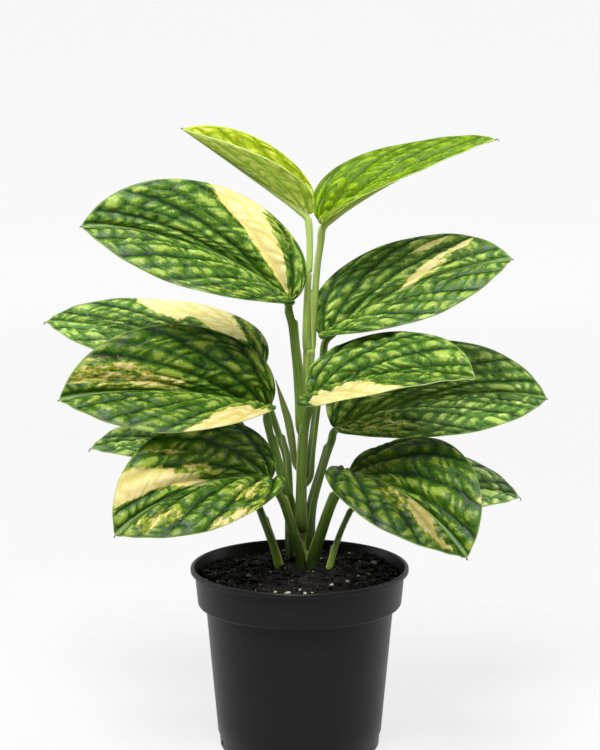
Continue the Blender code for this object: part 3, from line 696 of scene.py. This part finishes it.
def make_blade(name, leaf, patches, seed):
    """The fine quilted blade, with what its materials read at each vertex."""
    mesh, line, across = grid_mesh(name, ALONG_FACES, 2 * ACROSS_FACES)
    left = across >= 0.5
    out = np.abs(2 * across - 1) ** CROWD_AT_RIB
    along, reach = blade_share(line, out)
    place, face = blade_sheet(leaf, along, reach, left)
    half = np.where(left, *leaf["halves"]) * MM
    from_rib = reach * half
    cream = cream_field(leaf, along, reach, left, patches)
    crowned, fine, tint, travel = pillows(leaf, line, out, left, seed)
    # relief sets only the colours: dark in the veins and light on the crests, partly painted shade
    # and painted light
    relief = crowned * (0.25 + 0.75 * fine ** 0.8)
    calm = smooth(from_rib / CALM_BY_RIB) * smooth((1 - out) / CALM_BY_EDGE)
    calm = calm * np.minimum(1, 6 * (1 - line)) * (1 - CREAM_CALM * smooth(cream + 0.2))
    wrinkle = np.array([noise.noise(Vector(p) / WRINKLE_SIZE) for p in place])
    height = RIDGE_SHARE * RIDGE * ridge_height(line, out)
    height += calm * (PILLOW_HEIGHT * fine * (0.6 + 0.4 * tint) + WRINKLE * wrinkle)
    height *= leaf["relief"]
    closing = np.minimum(1, 8 * (1 - line)) * np.minimum(1, 30 * line)
    height -= closing * GUTTER_DEPTH * np.exp(-(from_rib / GUTTER_WIDTH) ** 2)
    height += closing * MIDRIB_HEIGHT * np.exp(-(from_rib / MIDRIB_WIDTH) ** 2)
    place_vertices(mesh, place + face * height[:, None])
    vein_place = np.stack([VEIN_PAIRS * line, travel / MARBLE_SIZE, left * 3.0 + seed], 1)
    read = dict(relief=relief, painted_light_and_tone=np.where(left, *leaf["painted_light_and_tone"]), tint=tint,
                vein_place=vein_place, from_rib=from_rib / MM, to_edge=(1 - out) * half / MM,
                cream=cream)
    for attribute, values in read.items():
        add_attribute(mesh, attribute, values)
    weld(mesh, False)
    return mesh


def solidified(mesh, thickness, finishes):
    """The sheet with a thickness: its own faces on top in slot 0, underside in 1, edge in 2."""
    piece = new_object(mesh.name, mesh, *finishes)
    shell = piece.modifiers.new("thickness", "SOLIDIFY")
    shell.thickness = thickness
    shell.offset = -1.0
    shell.material_offset = 1
    shell.material_offset_rim = 2
    return evaluated(piece)


def plant_axis(height):
    """Where the stem's axis is at each height."""
    stem = np.array(STEM_ROUTE) * MM
    return np.stack([np.interp(height, stem[:, 2], stem[:, i]) for i in (0, 1)], axis=-1)


def rooted(points):
    """The route with a start deeper down, on the stem's axis."""
    start = points[0][2] - ROOTED_IN_STEM
    return [(*plant_axis(start), start), *points]


def stalk_line(leaf):
    """Centre line of the stalk, the rib under the blade and the tip; its steps to the blade."""
    points = in_metres(leaf["stalk"])
    if not leaf["in_soil"]:
        points = rooted(points)
    free_points = len(points) + 1
    shares = np.array(RIB_SHARES)
    sinks = np.array(RIB_SINKS) * leaf["top"] * MM + 0.3 * MM
    points += [tuple(p) for p in midrib(leaf, shares)[0] + keel(leaf, shares) * sinks[:, None]]
    place, tangent, normal = (values[0] for values in midrib(leaf, np.ones(1)))
    for onward, down in ((0.5, 0.15), (0.7, 0.75)):
        points.append(tuple(place + leaf["drip"] * MM * (onward * tangent - down * normal)))
    free = len(smooth_route(points[:free_points], STALK_STEP)) - 1
    return smooth_route(points, STALK_STEP), free


def inner_side(route, tangents):
    """The side of a stalk that faces up and towards the stem."""
    towards = np.zeros_like(route)
    towards[:, :2] = plant_axis(route[:, 2]) - route[:, :2]
    reach = np.linalg.norm(towards, axis=1, keepdims=True)
    towards = 0.5 * towards / np.maximum(reach, 2 * MM)
    towards[:, 2] = 0.6
    towards -= tangents * np.sum(towards * tangents, axis=1, keepdims=True)
    return unit(towards)


def loft(name, route, sides, section):
    """A tube along a route, open at its ends, with its places' shares of the route and angles.
    section(run, angle) gives its radius; angle 0 is on the inner side."""
    route = np.asarray(route)
    tangents = unit(np.gradient(route, axis=0))
    inner = inner_side(route, tangents)
    beside = np.cross(tangents, inner)
    lengths = route_lengths(route)
    mesh, run, turn = grid_mesh(name, len(route) - 1, sides)
    ring = np.round(run * (len(route) - 1)).astype(int)
    angle = 2 * math.pi * turn - math.pi
    radius = section(lengths[ring] / lengths[-1], angle)[:, None]
    places = route[ring] + radius * (inner[ring] * np.cos(angle)[:, None]
                                     + beside[ring] * np.sin(angle)[:, None])
    place_vertices(mesh, places)
    add_attribute(mesh, "stalk_place",
                  np.stack([np.cos(angle) * 2, np.sin(angle) * 2, lengths[ring] / MM], 1))
    return mesh, lengths[ring] / lengths[-1], angle


def make_stalk(name, leaf):
    """Sheathed foot, channelled stalk, knee under the blade and the rib on its underside."""
    route, free = stalk_line(leaf)
    lengths = route_lengths(route)
    whole = lengths[-1]
    free_share = lengths[free] / whole
    foot = leaf["foot"] * MM
    top = leaf["top"] * MM

    def to_sheath_end(run):
        """How far up the sheath still goes, in mm."""
        return (leaf["sheath"] * free_share - run) * whole / MM

    def section(run, angle):
        """Radius of the stalk at a share of its run, with its groove and two wings."""
        radius = foot + (top - foot) * np.clip(run / free_share, 0, 1)
        if not leaf["in_soil"]:
            radius *= 0.7 + 0.3 * smooth(run * whole / (1.5 * ROOTED_IN_STEM))
        from_knee = (run - KNEE_PLACE * free_share) / (KNEE_REACH * free_share)
        radius *= 1 + KNEE_SWELL * np.exp(-from_knee ** 2)
        beyond = np.clip((run - free_share) / (1 - free_share), 0, 1)
        radius = np.where(beyond > 0, top * (1 - 0.82 * beyond ** 0.7), radius)
        groove = GROOVE * np.exp(-(angle / GROOVE_SPREAD) ** 2) * (1 - smooth(beyond * 6))
        wing = WING * np.exp(-((np.abs(angle) - WING_ANGLE) / WING_SPREAD) ** 2)
        ahead = to_sheath_end(run)
        wing *= smooth(ahead / SHEATH_RUN_OUT) * (0.5 + 1.3 * np.exp(-np.maximum(0, ahead) / 6))
        return radius - groove * radius + wing

    mesh, run, angle = loft(f"{name}_stalk", route, STALK_SIDES, section)
    winged = np.exp(-((np.abs(angle) - WING_ANGLE) / 0.13) ** 2)
    add_attribute(mesh, "wing", winged * smooth(to_sheath_end(run) / SHEATH_RUN_OUT))
    add_attribute(mesh, "tip", smooth(1.3 - (1 - run) * whole / (1.5 * leaf["drip"] * MM)))
    close_ends(mesh)
    return mesh


def make_leaf(name, leaf, seed, finishes):
    """One leaf: blade and stalk in one piece, in place of its CAD solid."""
    sheet = make_blade(name, leaf, VARIEGATION.get(name, ()), seed)
    mesh = solidified(sheet, BLADE_THICKNESS, finishes)
    stalk = make_stalk(name, leaf)
    for face in stalk.polygons:
        face.material_index = 3
    with edited(mesh) as bm:
        bm.from_mesh(stalk)
    bpy.data.meshes.remove(stalk)
    mesh.shade_smooth()
    add_piece(f"fine_{name}", mesh, (), name)


def make_stem(finish):
    """The upright stem with its swollen, ringed nodes."""
    route = smooth_route(in_metres(STEM_ROUTE), STEM_STEP)
    lengths = route_lengths(route)

    def node_gaps(run):
        """How far a place is above or below each node."""
        height = np.interp(run, lengths / lengths[-1], route[:, 2])
        return [np.abs(height - node * MM) for node in STEM_NODES]

    def section(run, angle):
        radius = np.full_like(run, STEM_RADIUS)
        for gap in node_gaps(run):
            radius += NODE_SWELL * np.maximum(0, 1 - gap / NODE_REACH)
            radius -= RING_DEPTH * np.exp(-(gap / RING_WIDTH) ** 2)
        return radius * (1 + 0.02 * np.cos(5 * angle))

    mesh, run, _ = loft("fine_stem", route, STEM_SIDES, section)
    rings = [np.exp(-(gap / (1.3 * RING_WIDTH)) ** 2) for gap in node_gaps(run)]
    add_attribute(mesh, "ring", sum(rings))
    close_ends(mesh)
    add_piece("fine_stem", mesh, [finish], "stem")


def make_spear(finish):
    """The pointed, rolled leaf sheath beside the stem."""

    def section(run, angle):
        radius = ((SPEAR_FOOT + SPEAR_SWELL * np.sin(math.pi * run ** 1.2)) * (1 - run ** 5)
                  + SPEAR_TIP * run ** 5)
        rolled = 0.82 + 0.18 * np.abs(np.sin(angle))
        seam = 1 - 0.25 * np.exp(-((angle - 1.2) / 0.15) ** 2)
        return radius * rolled * seam

    route = smooth_route(rooted(in_metres(SPEAR_ROUTE)), STEM_STEP)
    mesh = loft("fine_spear", route, STALK_SIDES, section)[0]
    close_ends(mesh)
    add_piece("fine_spear", mesh, [finish], "spear")


def arc(centre, radius, start, end, count):
    points = []
    for k in range(count + 1):
        a = math.radians(start + (end - start) * k / count)
        points.append((centre[0] + radius * math.cos(a), centre[1] + radius * math.sin(a)))
    return points


def straight(start, end, count):
    """The points after the start that part a line in a count of equal steps."""
    return [tuple(a + (b - a) * k / count for a, b in zip(start, end))
            for k in range(1, count + 1)]


def inner_wall(gap):
    """The pot's inside from the middle of its floor up into the collar, or a gap within it."""
    inset = WALL + gap
    low = POT_HEIGHT - COLLAR_DEPTH + gap
    return [(0.0, FLOOR + gap), (FOOT_RADIUS - inset - CORNER, FLOOR + gap),
            (FOOT_RADIUS - inset, FLOOR + gap + CORNER), (BODY_TOP_RADIUS - inset, low),
            (COLLAR_LOW_RADIUS - inset, low + WALL)]


def pot_profile():
    """The pot's section from the middle of its floor, up inside, over the lip and down."""
    collar_low = POT_HEIGHT - COLLAR_DEPTH
    lip_low = POT_HEIGHT - RIM_DEPTH
    half_lip = RIM_WIDTH / 2
    inside = [*inner_wall(0.0), (COLLAR_TOP_RADIUS - WALL, lip_low - RIM_WIDTH)]
    crown = arc((RIM_RADIUS - half_lip, POT_HEIGHT - half_lip), half_lip, 180, 0, 14)
    lip_foot = arc((RIM_RADIUS - SMALL_CORNER, lip_low + SMALL_CORNER), SMALL_CORNER, 0, -90, 4)
    collar = [(COLLAR_TOP_RADIUS, lip_low - 0.3 * MM)]
    collar += straight((COLLAR_TOP_RADIUS, lip_low), (COLLAR_LOW_RADIUS, collar_low + CORNER),
                       6)[:-1]
    collar += arc((COLLAR_LOW_RADIUS - CORNER, collar_low + CORNER), CORNER, 0, -90, 7)
    body = [(BODY_TOP_RADIUS + SMALL_CORNER, collar_low),
            (BODY_TOP_RADIUS, collar_low - SMALL_CORNER)]
    body += straight((BODY_TOP_RADIUS, collar_low), (BODY_LOW_RADIUS, BODY_STEP), 10)
    foot = [(FOOT_RADIUS, FOOT_HEIGHT)]
    foot += arc((FOOT_RADIUS - SMALL_CORNER - CORNER, CORNER), CORNER, 0, -90, 6)
    return inside + crown + lip_foot + collar + body + foot + [(0.0, 0.0)]


def drain_cutter():
    """Short lying rods that cut the drain slots."""
    mesh = bpy.data.meshes.new("drain_cutter")
    with edited(mesh) as bm:
        for k in range(DRAIN_SLOTS):
            turn = 2 * math.pi * (k + 0.5) / DRAIN_SLOTS
            cos, sin = math.cos(turn), math.sin(turn)
            rod = bmesh.ops.create_cone(bm, cap_ends=True, segments=24, radius1=DRAIN_WIDTH / 2,
                                        radius2=DRAIN_WIDTH / 2, depth=DRAIN_CUT)
            for vertex in rod["verts"]:
                up, beside, out = vertex.co
                vertex.co = Vector((FOOT_RADIUS * cos, FOOT_RADIUS * sin, DRAIN_HEIGHT)) + Vector(
                    (out * cos - beside * sin, out * sin + beside * cos, up))
        bmesh.ops.recalc_face_normals(bm, faces=bm.faces)
    return new_object("drain_cutter", mesh)


def make_pot(finish):
    """The black pot, turned finely, with the CAD pot's drain slots."""
    mesh = bpy.data.meshes.new("fine_pot")
    with edited(mesh) as bm:
        dots = [bm.verts.new((r, 0.0, z)) for r, z in pot_profile()]
        for a, b in zip(dots, dots[1:]):
            bm.edges.new((a, b))
    pot = new_object("fine_pot", mesh, finish)
    screw = pot.modifiers.new("turn", "SCREW")
    screw.steps = POT_TURNS
    screw.render_steps = POT_TURNS
    screw.use_merge_vertices = True
    screw.merge_threshold = 0.01 * MM
    cut = pot.modifiers.new("drains", "BOOLEAN")
    cut.operation = "DIFFERENCE"
    cutter = drain_cutter()
    cut.object = cutter
    solid = evaluated(pot)
    bpy.data.objects.remove(cutter, do_unlink=True)
    solid.shade_smooth()
    solid.set_sharp_from_angle(angle=math.radians(35))
    add_piece("fine_pot", solid, (), "pot")


def soil_level(x, y):
    """The CAD part's soil surface."""
    reach = min(1.0, math.hypot(x, y) / COLLAR_LOW_RADIUS)
    level = POT_HEIGHT - SOIL_EDGE_BELOW_RIM + SOIL_MOUND * (1 - reach * reach)
    return level + SOIL_RELIEF * noise.noise(Vector((x, y, 0.0)) / (4.2 * MM))


def make_soil(finish):
    """The soil's crumbly surface on a plain body that fills the pot."""
    mesh, run, turn = grid_mesh("fine_soil", SOIL_RINGS, SOIL_SIDES)
    angle = 2 * math.pi * turn
    top = run <= SOIL_TOP_SHARE
    radius = SOIL_RADIUS * np.minimum(1, run / SOIL_TOP_SHARE)
    z = np.array([soil_level(x, y) + SOIL_GRAIN * noise.fractal(
        Vector((x, y, 0.5)) / SOIL_GRAIN_SIZE, 0.7, 2.1, 4)
        for x, y in zip(radius * np.cos(angle), radius * np.sin(angle))])
    wall = np.array([(SOIL_RADIUS, POT_HEIGHT - SOIL_EDGE_BELOW_RIM),
                     *reversed(inner_wall(SOIL_GAP))])
    lengths = route_lengths(wall)
    depth = np.clip((run - SOIL_TOP_SHARE) / (1 - SOIL_TOP_SHARE), 0, 1) * lengths[-1]
    radius = np.where(top, radius, np.interp(depth, lengths, wall[:, 0]))
    z = np.where(top, z, np.interp(depth, lengths, wall[:, 1]))
    place_vertices(mesh, np.stack([radius * np.cos(angle), radius * np.sin(angle), z], axis=1))
    weld(mesh, True)
    mesh.shade_smooth()
    add_piece("fine_soil", mesh, [finish], "soil")


def scatter_places(count, rng, ground=None, clear=1.5 * MM):
    """Places on the soil or on what lies on it, even over its area, clear of the pot's wall."""
    places = []
    for _ in range(count):
        radius = (SOIL_RADIUS - clear) * math.sqrt(rng.random())
        angle = rng.uniform(0, 2 * math.pi)
        x = radius * math.cos(angle)
        y = radius * math.sin(angle)
        place = Vector((x, y, soil_level(x, y)))
        if ground:
            met = ground.ray_cast(Vector((x, y, 2 * POT_HEIGHT)), Vector((0, 0, -1)))[0]
            place.z = max(place.z, met.z if met else 0.0)
        places.append(place)
    return places


def make_grains(name, count, sizes, sink, roughness, finish, rng, ground=None):
    """Many small irregular lumps on the soil, joined in one piece; gives their surface."""
    bm = bmesh.new()
    bmesh.ops.create_icosphere(bm, subdivisions=2, radius=1.0)
    ball = [v.co.copy() for v in bm.verts]
    sides = [[v.index for v in face.verts] for face in bm.faces]
    bm.free()
    corners = []
    faces = []
    for place in scatter_places(count, rng, ground):
        size = sizes[0] + (sizes[1] - sizes[0]) * rng.random() ** 2.2
        stretch = Vector((rng.uniform(0.7, 1.3), rng.uniform(0.7, 1.3), rng.uniform(0.5, 0.95)))
        turn = Matrix.Rotation(rng.uniform(0, 2 * math.pi), 3, "Z")
        tip = Vector((rng.uniform(-0.4, 0.4), rng.uniform(-0.4, 0.4), 1)).normalized()
        turn = Vector((0, 0, 1)).rotation_difference(tip).to_matrix() @ turn
        shift = Vector((rng.uniform(0, 90), rng.uniform(0, 90), 0))
        faces += [[len(corners) + i for i in side] for side in sides]
        for point in ball:
            lump = size * (1 + roughness * noise.noise(point * 1.4 + shift))
            corners.append(place + turn @ (point * stretch * lump)
                           + Vector((0, 0, size * sink)))
    mesh = bpy.data.meshes.new(name)
    mesh.from_pydata(corners, [], faces)
    add_piece(name, mesh, [finish])
    return BVHTree.FromPolygons(corners, faces)


def make_fibres(finish, rng):
    """Thin bits of root and bark fibre that lie on the soil, joined in one piece."""
    mesh = bpy.data.meshes.new("soil_fibres")
    angles = [2 * math.pi * j / FIBRE_SIDES for j in range(FIBRE_SIDES)]
    with edited(mesh) as bm:
        for place in scatter_places(FIBRES, rng, None, 6 * MM):
            step = rng.uniform(3, 9) * MM / FIBRE_STEPS
            heading = rng.uniform(0, 2 * math.pi)
            curl = rng.uniform(-1.2, 1.2)
            radius = rng.uniform(0.12, 0.28) * MM
            rings = []
            x, y = place.x, place.y
            for _ in range(FIBRE_STEPS + 1):
                z = soil_level(x, y) + 0.5 * MM + rng.uniform(0, 0.5) * MM
                side = Vector((-math.sin(heading), math.cos(heading), 0))
                rings.append([bm.verts.new(Vector((x, y, z)) + radius * (
                    side * math.cos(a) + Vector((0, 0, 1)) * math.sin(a))) for a in angles])
                x += math.cos(heading) * step
                y += math.sin(heading) * step
                heading += curl / FIBRE_STEPS
            for a, b in zip(rings, rings[1:]):
                for j in range(FIBRE_SIDES):
                    k = (j + 1) % FIBRE_SIDES
                    bm.faces.new((a[j], a[k], b[k], b[j]))
            bm.faces.new(rings[0])
            bm.faces.new(rings[-1])
        bmesh.ops.recalc_face_normals(bm, faces=bm.faces)
    mesh.shade_smooth()
    add_piece("soil_fibres", mesh, [finish])


def blade_finish(name, tones, roughness, gloss, glow):
    """Top of a blade: dark sunken veins and lighter swellings, partly painted shade and painted
    light, and cream marbling along the veins.
    """
    made = Finish(name)
    painted_light_and_tone = made.attribute("painted_light_and_tone")
    from_rib = made.attribute("from_rib")
    to_edge = made.attribute("to_edge")
    veins = made.attribute("vein_place", "Vector")
    blotch = made.noise(150.0, 4, 0.6)
    pores = made.noise(1500.0, 2, 0.5)
    # lit follows the swellings' relief with noise: the valley tone where it is low is partly painted
    # shade, the crown tone where it is high partly painted light
    lit = made.sum(made.attribute("relief"), made.about(blotch, 0.8),
                   made.about(made.noise(420.0, 3, 0.6), 0.7),
                   made.about(made.noise(1100.0, 2, 0.6), 0.5),
                   made.about(made.attribute("tint"), 0.3))
    base = made.mix(made.step(lit, 0.15, 0.6), tones["valley_with_painted_shade"], tones["flank"])
    base = made.mix(made.step(lit, 0.65, 1.1), base, tones["crown"])
    # pale flecks along the veins, only on the crests: partly real mottling, partly a painted
    # highlight
    mottle = made.step(made.streaks(veins, (2.6, 1.5, 1.0)), 0.54, 0.66)
    base = made.over(base, made.maths("MULTIPLY", mottle, made.step(lit, 0.7, 0.95)), 0.6,
                     tones["fleck_with_painted_highlight"])
    streaks = made.about(made.streaks(veins, MARBLING_STRETCH), MARBLING_REACH)
    edge = made.sum(made.attribute("cream"), streaks, made.about(made.noise(420.0, 2, 0.6), 1.0))
    # the cream is darker in the veins and lighter on the crests, partly painted shade and painted
    # light
    pale = made.mix(made.step(lit, 0.2, 1.0), tones["cream_low"], tones["cream"])
    base = made.over(base, made.step(edge, -0.6, -0.02), 0.75, tones["half"])
    base = made.mix(made.step(edge, -0.04, 0.06), base, pale)
    # each half made lighter or darker by its leaf's value: partly its own tone, partly painted light
    # and shade for how brightly that half is lit, a lighter half also greyer
    base = made.node("ShaderNodeHueSaturation", {
        "Value": made.sum(painted_light_and_tone, 1.0), "Color": base,
        "Saturation": made.maths("MULTIPLY_ADD", painted_light_and_tone, -0.16, 1.0)}).outputs[0]
    base = made.over(base, made.step(from_rib, 2.6, 1.0), 0.5, tones["groove"])
    base = made.over(base, made.step(from_rib, 1.0, 0.5), 0.6, tones["rib"])
    base = made.over(base, made.step(to_edge, 0.6, 0.15), 0.5, tones["rim"])
    roughness = made.sum(made.about(pores, 0.16), made.about(blotch, 0.1), roughness)
    return made.coat(base, roughness, made.noise(520.0, 4, 0.65), 0.35, 0.0005, gloss=gloss,
                     subsurface_weight=glow, **GLOW)


def under_finish(name, low, high, cream, glow):
    """Underside of a blade: paler and matt, lighter between its veins and at its margin."""
    made = Finish(name)
    streaks = made.streaks(made.attribute("vein_place", "Vector"), MARBLING_STRETCH)
    edge = made.sum(made.attribute("cream"), made.about(streaks, MARBLING_REACH))
    lit = made.sum(made.attribute("relief"), made.about(made.noise(160.0, 4, 0.6), 0.9))
    base = made.mix(made.step(lit, 0.25, 1.0), low, high)
    base = made.over(base, made.step(made.attribute("to_edge"), 1.8, 0.6), 0.35, cream)
    base = made.over(base, made.step(edge, -0.1, 0.15), 0.75, cream)
    return made.coat(base, 0.5, made.noise(600.0, 3, 0.6), 0.25, 0.0004, gloss=0.35,
                     subsurface_weight=glow, **GLOW)


def edge_finish(name, tone):
    """The thin pale margin of a blade."""
    made = Finish(name)
    return made.coat(made.mix(made.noise(300.0, 3, 0.5), tone, (206, 214, 140)), 0.45)


def stalk_finish(name, low, high, wing, heights):
    """Stalks: fine lengthwise streaks, another tone higher up, pale sheath margins."""
    made = Finish(name)
    streaks = made.streaks(made.attribute("stalk_place", "Vector"), (3.0, 3.0, 0.06))
    height = made.sum(made.split(made.ground)[2], made.about(made.noise(90.0, 3, 0.55), 0.03))
    # below the given heights the low tone: on mature stalks darker at the foot, partly painted shade
    # among the crowded stalks
    base = made.mix(made.step(height, *heights), low, high)
    base = made.over(base, made.step(streaks, 0.55, 0.35), 0.5, low)
    base = made.over(base, made.attribute("wing"), 0.8, wing)
    base = made.mix(made.attribute("tip"), base, (54, 46, 26))
    return made.coat(base, 0.42, streaks, 0.25, 0.0003, gloss=0.28, subsurface_weight=0.06,
                     subsurface_scale=0.002)


def stem_finish():
    """The stem: lengthwise streaks and a darker ring at each node."""
    made = Finish("stem_skin")
    streaks = made.streaks(made.attribute("stalk_place", "Vector"), (2.5, 2.5, 0.08))
    base = made.mix(made.step(streaks, 0.35, 0.7), (112, 136, 54), (162, 182, 94))
    base = made.over(base, made.step(made.attribute("ring"), 0.25, 0.8), 0.55, (84, 86, 44))
    return made.coat(base, 0.42, streaks, 0.3, 0.0003, gloss=0.3)


def pot_finish():
    """Matt black moulded plastic with a faint grain and dust."""
    made = Finish("pot_plastic")
    cloud = made.noise(28.0, 4, 0.6)
    dust = made.step(made.noise(520.0, 2, 0.5), 0.74, 0.8)
    base = made.mix(cloud, (15, 15, 16), (20, 20, 21))
    base = made.over(base, dust, 0.4, (72, 72, 72))
    return made.coat(base, made.sum(made.about(cloud, 0.1), 0.4), made.noise(900.0, 3, 0.6), 0.12,
                     0.0002, gloss=0.17)


def soil_finish(name, dark, light):
    """Soil: light grains on dark clods."""
    made = Finish(name)
    grain = made.noise(700.0, 5, 0.7)
    clods = made.noise(240.0, 4, 0.65)
    base = made.mix(made.step(grain, 0.45, 0.62), dark, light)
    base = made.mix(made.step(clods, 0.56, 0.46), base, dark)
    return made.coat(base, 0.8, grain, 0.8, 0.0007, gloss=0.2)


def perlite_finish():
    """Rough greyish white grains."""
    made = Finish("perlite_white")
    grain = made.noise(1400.0, 4, 0.7)
    base = made.mix(grain, (120, 117, 106), (186, 182, 170))
    return made.coat(base, 0.85, grain, 0.7, 0.0003)


def floor_finish():
    """A matt floor that glows a little, more towards the back."""
    made = Finish("pale_floor")
    base = made.mix(made.noise(4.0, 2, 0.5), (102, 102, 102), (105, 105, 105))
    away = made.step(made.split(made.ground)[1], 0.3, 1.9, 0.0, BACKDROP_GLOW)
    return made.coat(base, 0.85, gloss=0.2, emission_color=(1.0, 1.0, 1.0, 1.0),
                     emission_strength=made.sum(away, FLOOR_GLOW))


def studio_light():
    """World light: bright from above and from behind, dim from the camera's side."""
    world = bpy.data.worlds.new("studio")
    bpy.context.scene.world = world
    made = Nodes(world)
    ways = made.split(made.place("Generated"))
    strength = made.sum(*[made.step(ways[axis], *ramp) for axis, *ramp in WORLD_RAMPS])
    made.set(made.tree.nodes["Background"], {0: (1.0, 1.0, 1.0, 1.0), 1: strength})


def make_stage():
    """A pale floor that curves up into the backdrop, soft lights and the camera."""
    mesh, run, side = grid_mesh("backdrop", 60, 2)
    travel = FLOOR_FRONT + run * FLOOR_RUN
    turn = np.clip((travel - BEND_FROM) / BEND_RADIUS, 0, math.pi / 2)
    y = np.minimum(travel, BEND_FROM) + BEND_RADIUS * np.sin(turn)
    z = BEND_RADIUS * (1 - np.cos(turn))
    z += np.maximum(0.0, travel - BEND_FROM - BEND_RADIUS * math.pi / 2)
    place_vertices(mesh, np.stack([(side - 0.5) * FLOOR_WIDTH, y, z - FLOOR_DROP], axis=1))
    mesh.shade_smooth()
    new_object("backdrop", mesh, floor_finish())
    studio_light()
    for name, place, size, power in LIGHTS:
        data = bpy.data.lights.new(name, "AREA")
        data.shape = "RECTANGLE"
        data.size, data.size_y = size
        data.energy = power
        lamp = new_object(name, data)
        lamp.location = place
        lamp.rotation_euler = (LIGHTS_AIM - Vector(place)).to_track_quat("-Z", "Y").to_euler()

    data = bpy.data.cameras.new("photo_camera")
    data.sensor_fit = "VERTICAL"
    data.sensor_height = SENSOR
    data.lens = LENS
    data.clip_start = 0.05
    camera = new_object("photo_camera", data)
    down = math.radians(CAMERA_LOOKS_DOWN)
    camera.location = CAMERA_AIM + CAMERA_DISTANCE * Vector((0, -math.cos(down), math.sin(down)))
    camera.rotation_euler = (math.pi / 2 - down, 0, 0)
    bpy.context.scene.camera = camera
    settings = bpy.context.scene.view_settings
    settings.view_transform = "Standard"
    settings.look = "None"


def leaf_finishes():
    """For each kind of leaf its top, underside, margin and stalk."""
    mature = (blade_finish("mature_top", MATURE, 0.44, 0.24, 0.1),
              under_finish("mature_under", (88, 122, 62), (122, 150, 88), (214, 212, 150), 0.1),
              edge_finish("mature_margin", (104, 132, 66)),
              # the mature stalks' dark low tone is partly painted shade among the crowded feet by the
              # soil
              stalk_finish("mature_stalk", (32, 50, 8), (100, 128, 40), (176, 192, 112),
                           (0.085, 0.17)))
    young = (blade_finish("young_top", LIME, 0.46, 0.14, 0.3),
             # the young undersides' pale tones are partly painted light, standing for light that
             # shines through the young blades
             under_finish("young_under", (136, 168, 34), (216, 230, 118), (240, 246, 176), 0.3),
             edge_finish("young_margin", (160, 188, 84)),
             stalk_finish("young_stalk", (124, 150, 62), (164, 184, 96), (200, 212, 140),
                          (0.21, 0.28)))
    youngest = blade_finish("youngest_top", PALE_LIME, 0.36, 0.14, 0.6)
    outer = stalk_finish("outer_stalk", (112, 132, 46), (58, 82, 20), (200, 210, 132),
                         (0.1, 0.125))
    return {"mature": mature, "young": young, "youngest": (youngest, *young[1:]),
            "outer": (*mature[:3], outer)}


def main():
    rng = random.Random(SEED)
    finishes = leaf_finishes()
    for index, (name, leaf) in enumerate(LEAVES.items()):
        leaf = {**LEAF_DEFAULTS, **leaf}
        make_leaf(name, leaf, index + 1.0, finishes[leaf["finish"]])
    make_stem(stem_finish())
    make_spear(stalk_finish("spear_olive", (92, 110, 48), (112, 124, 60), (170, 176, 110),
                            (0.15, 0.2)))
    make_pot(pot_finish())
    make_soil(soil_finish("soil_surface", (4, 4, 3), (18, 16, 11)))
    crumbs = make_grains("soil_crumbs", CRUMBS, (0.5 * MM, 3.0 * MM), 0.2, 0.8,
                         soil_finish("soil_crumb", (3, 3, 2), (46, 40, 29)), rng)
    make_grains("perlite_grains", PERLITE, (0.35 * MM, 1.7 * MM), 0.1, 0.6,
                perlite_finish(), rng, crumbs)
    make_fibres(soil_finish("soil_fibre", (30, 24, 16), (84, 70, 48)), rng)
    make_stage()


main()
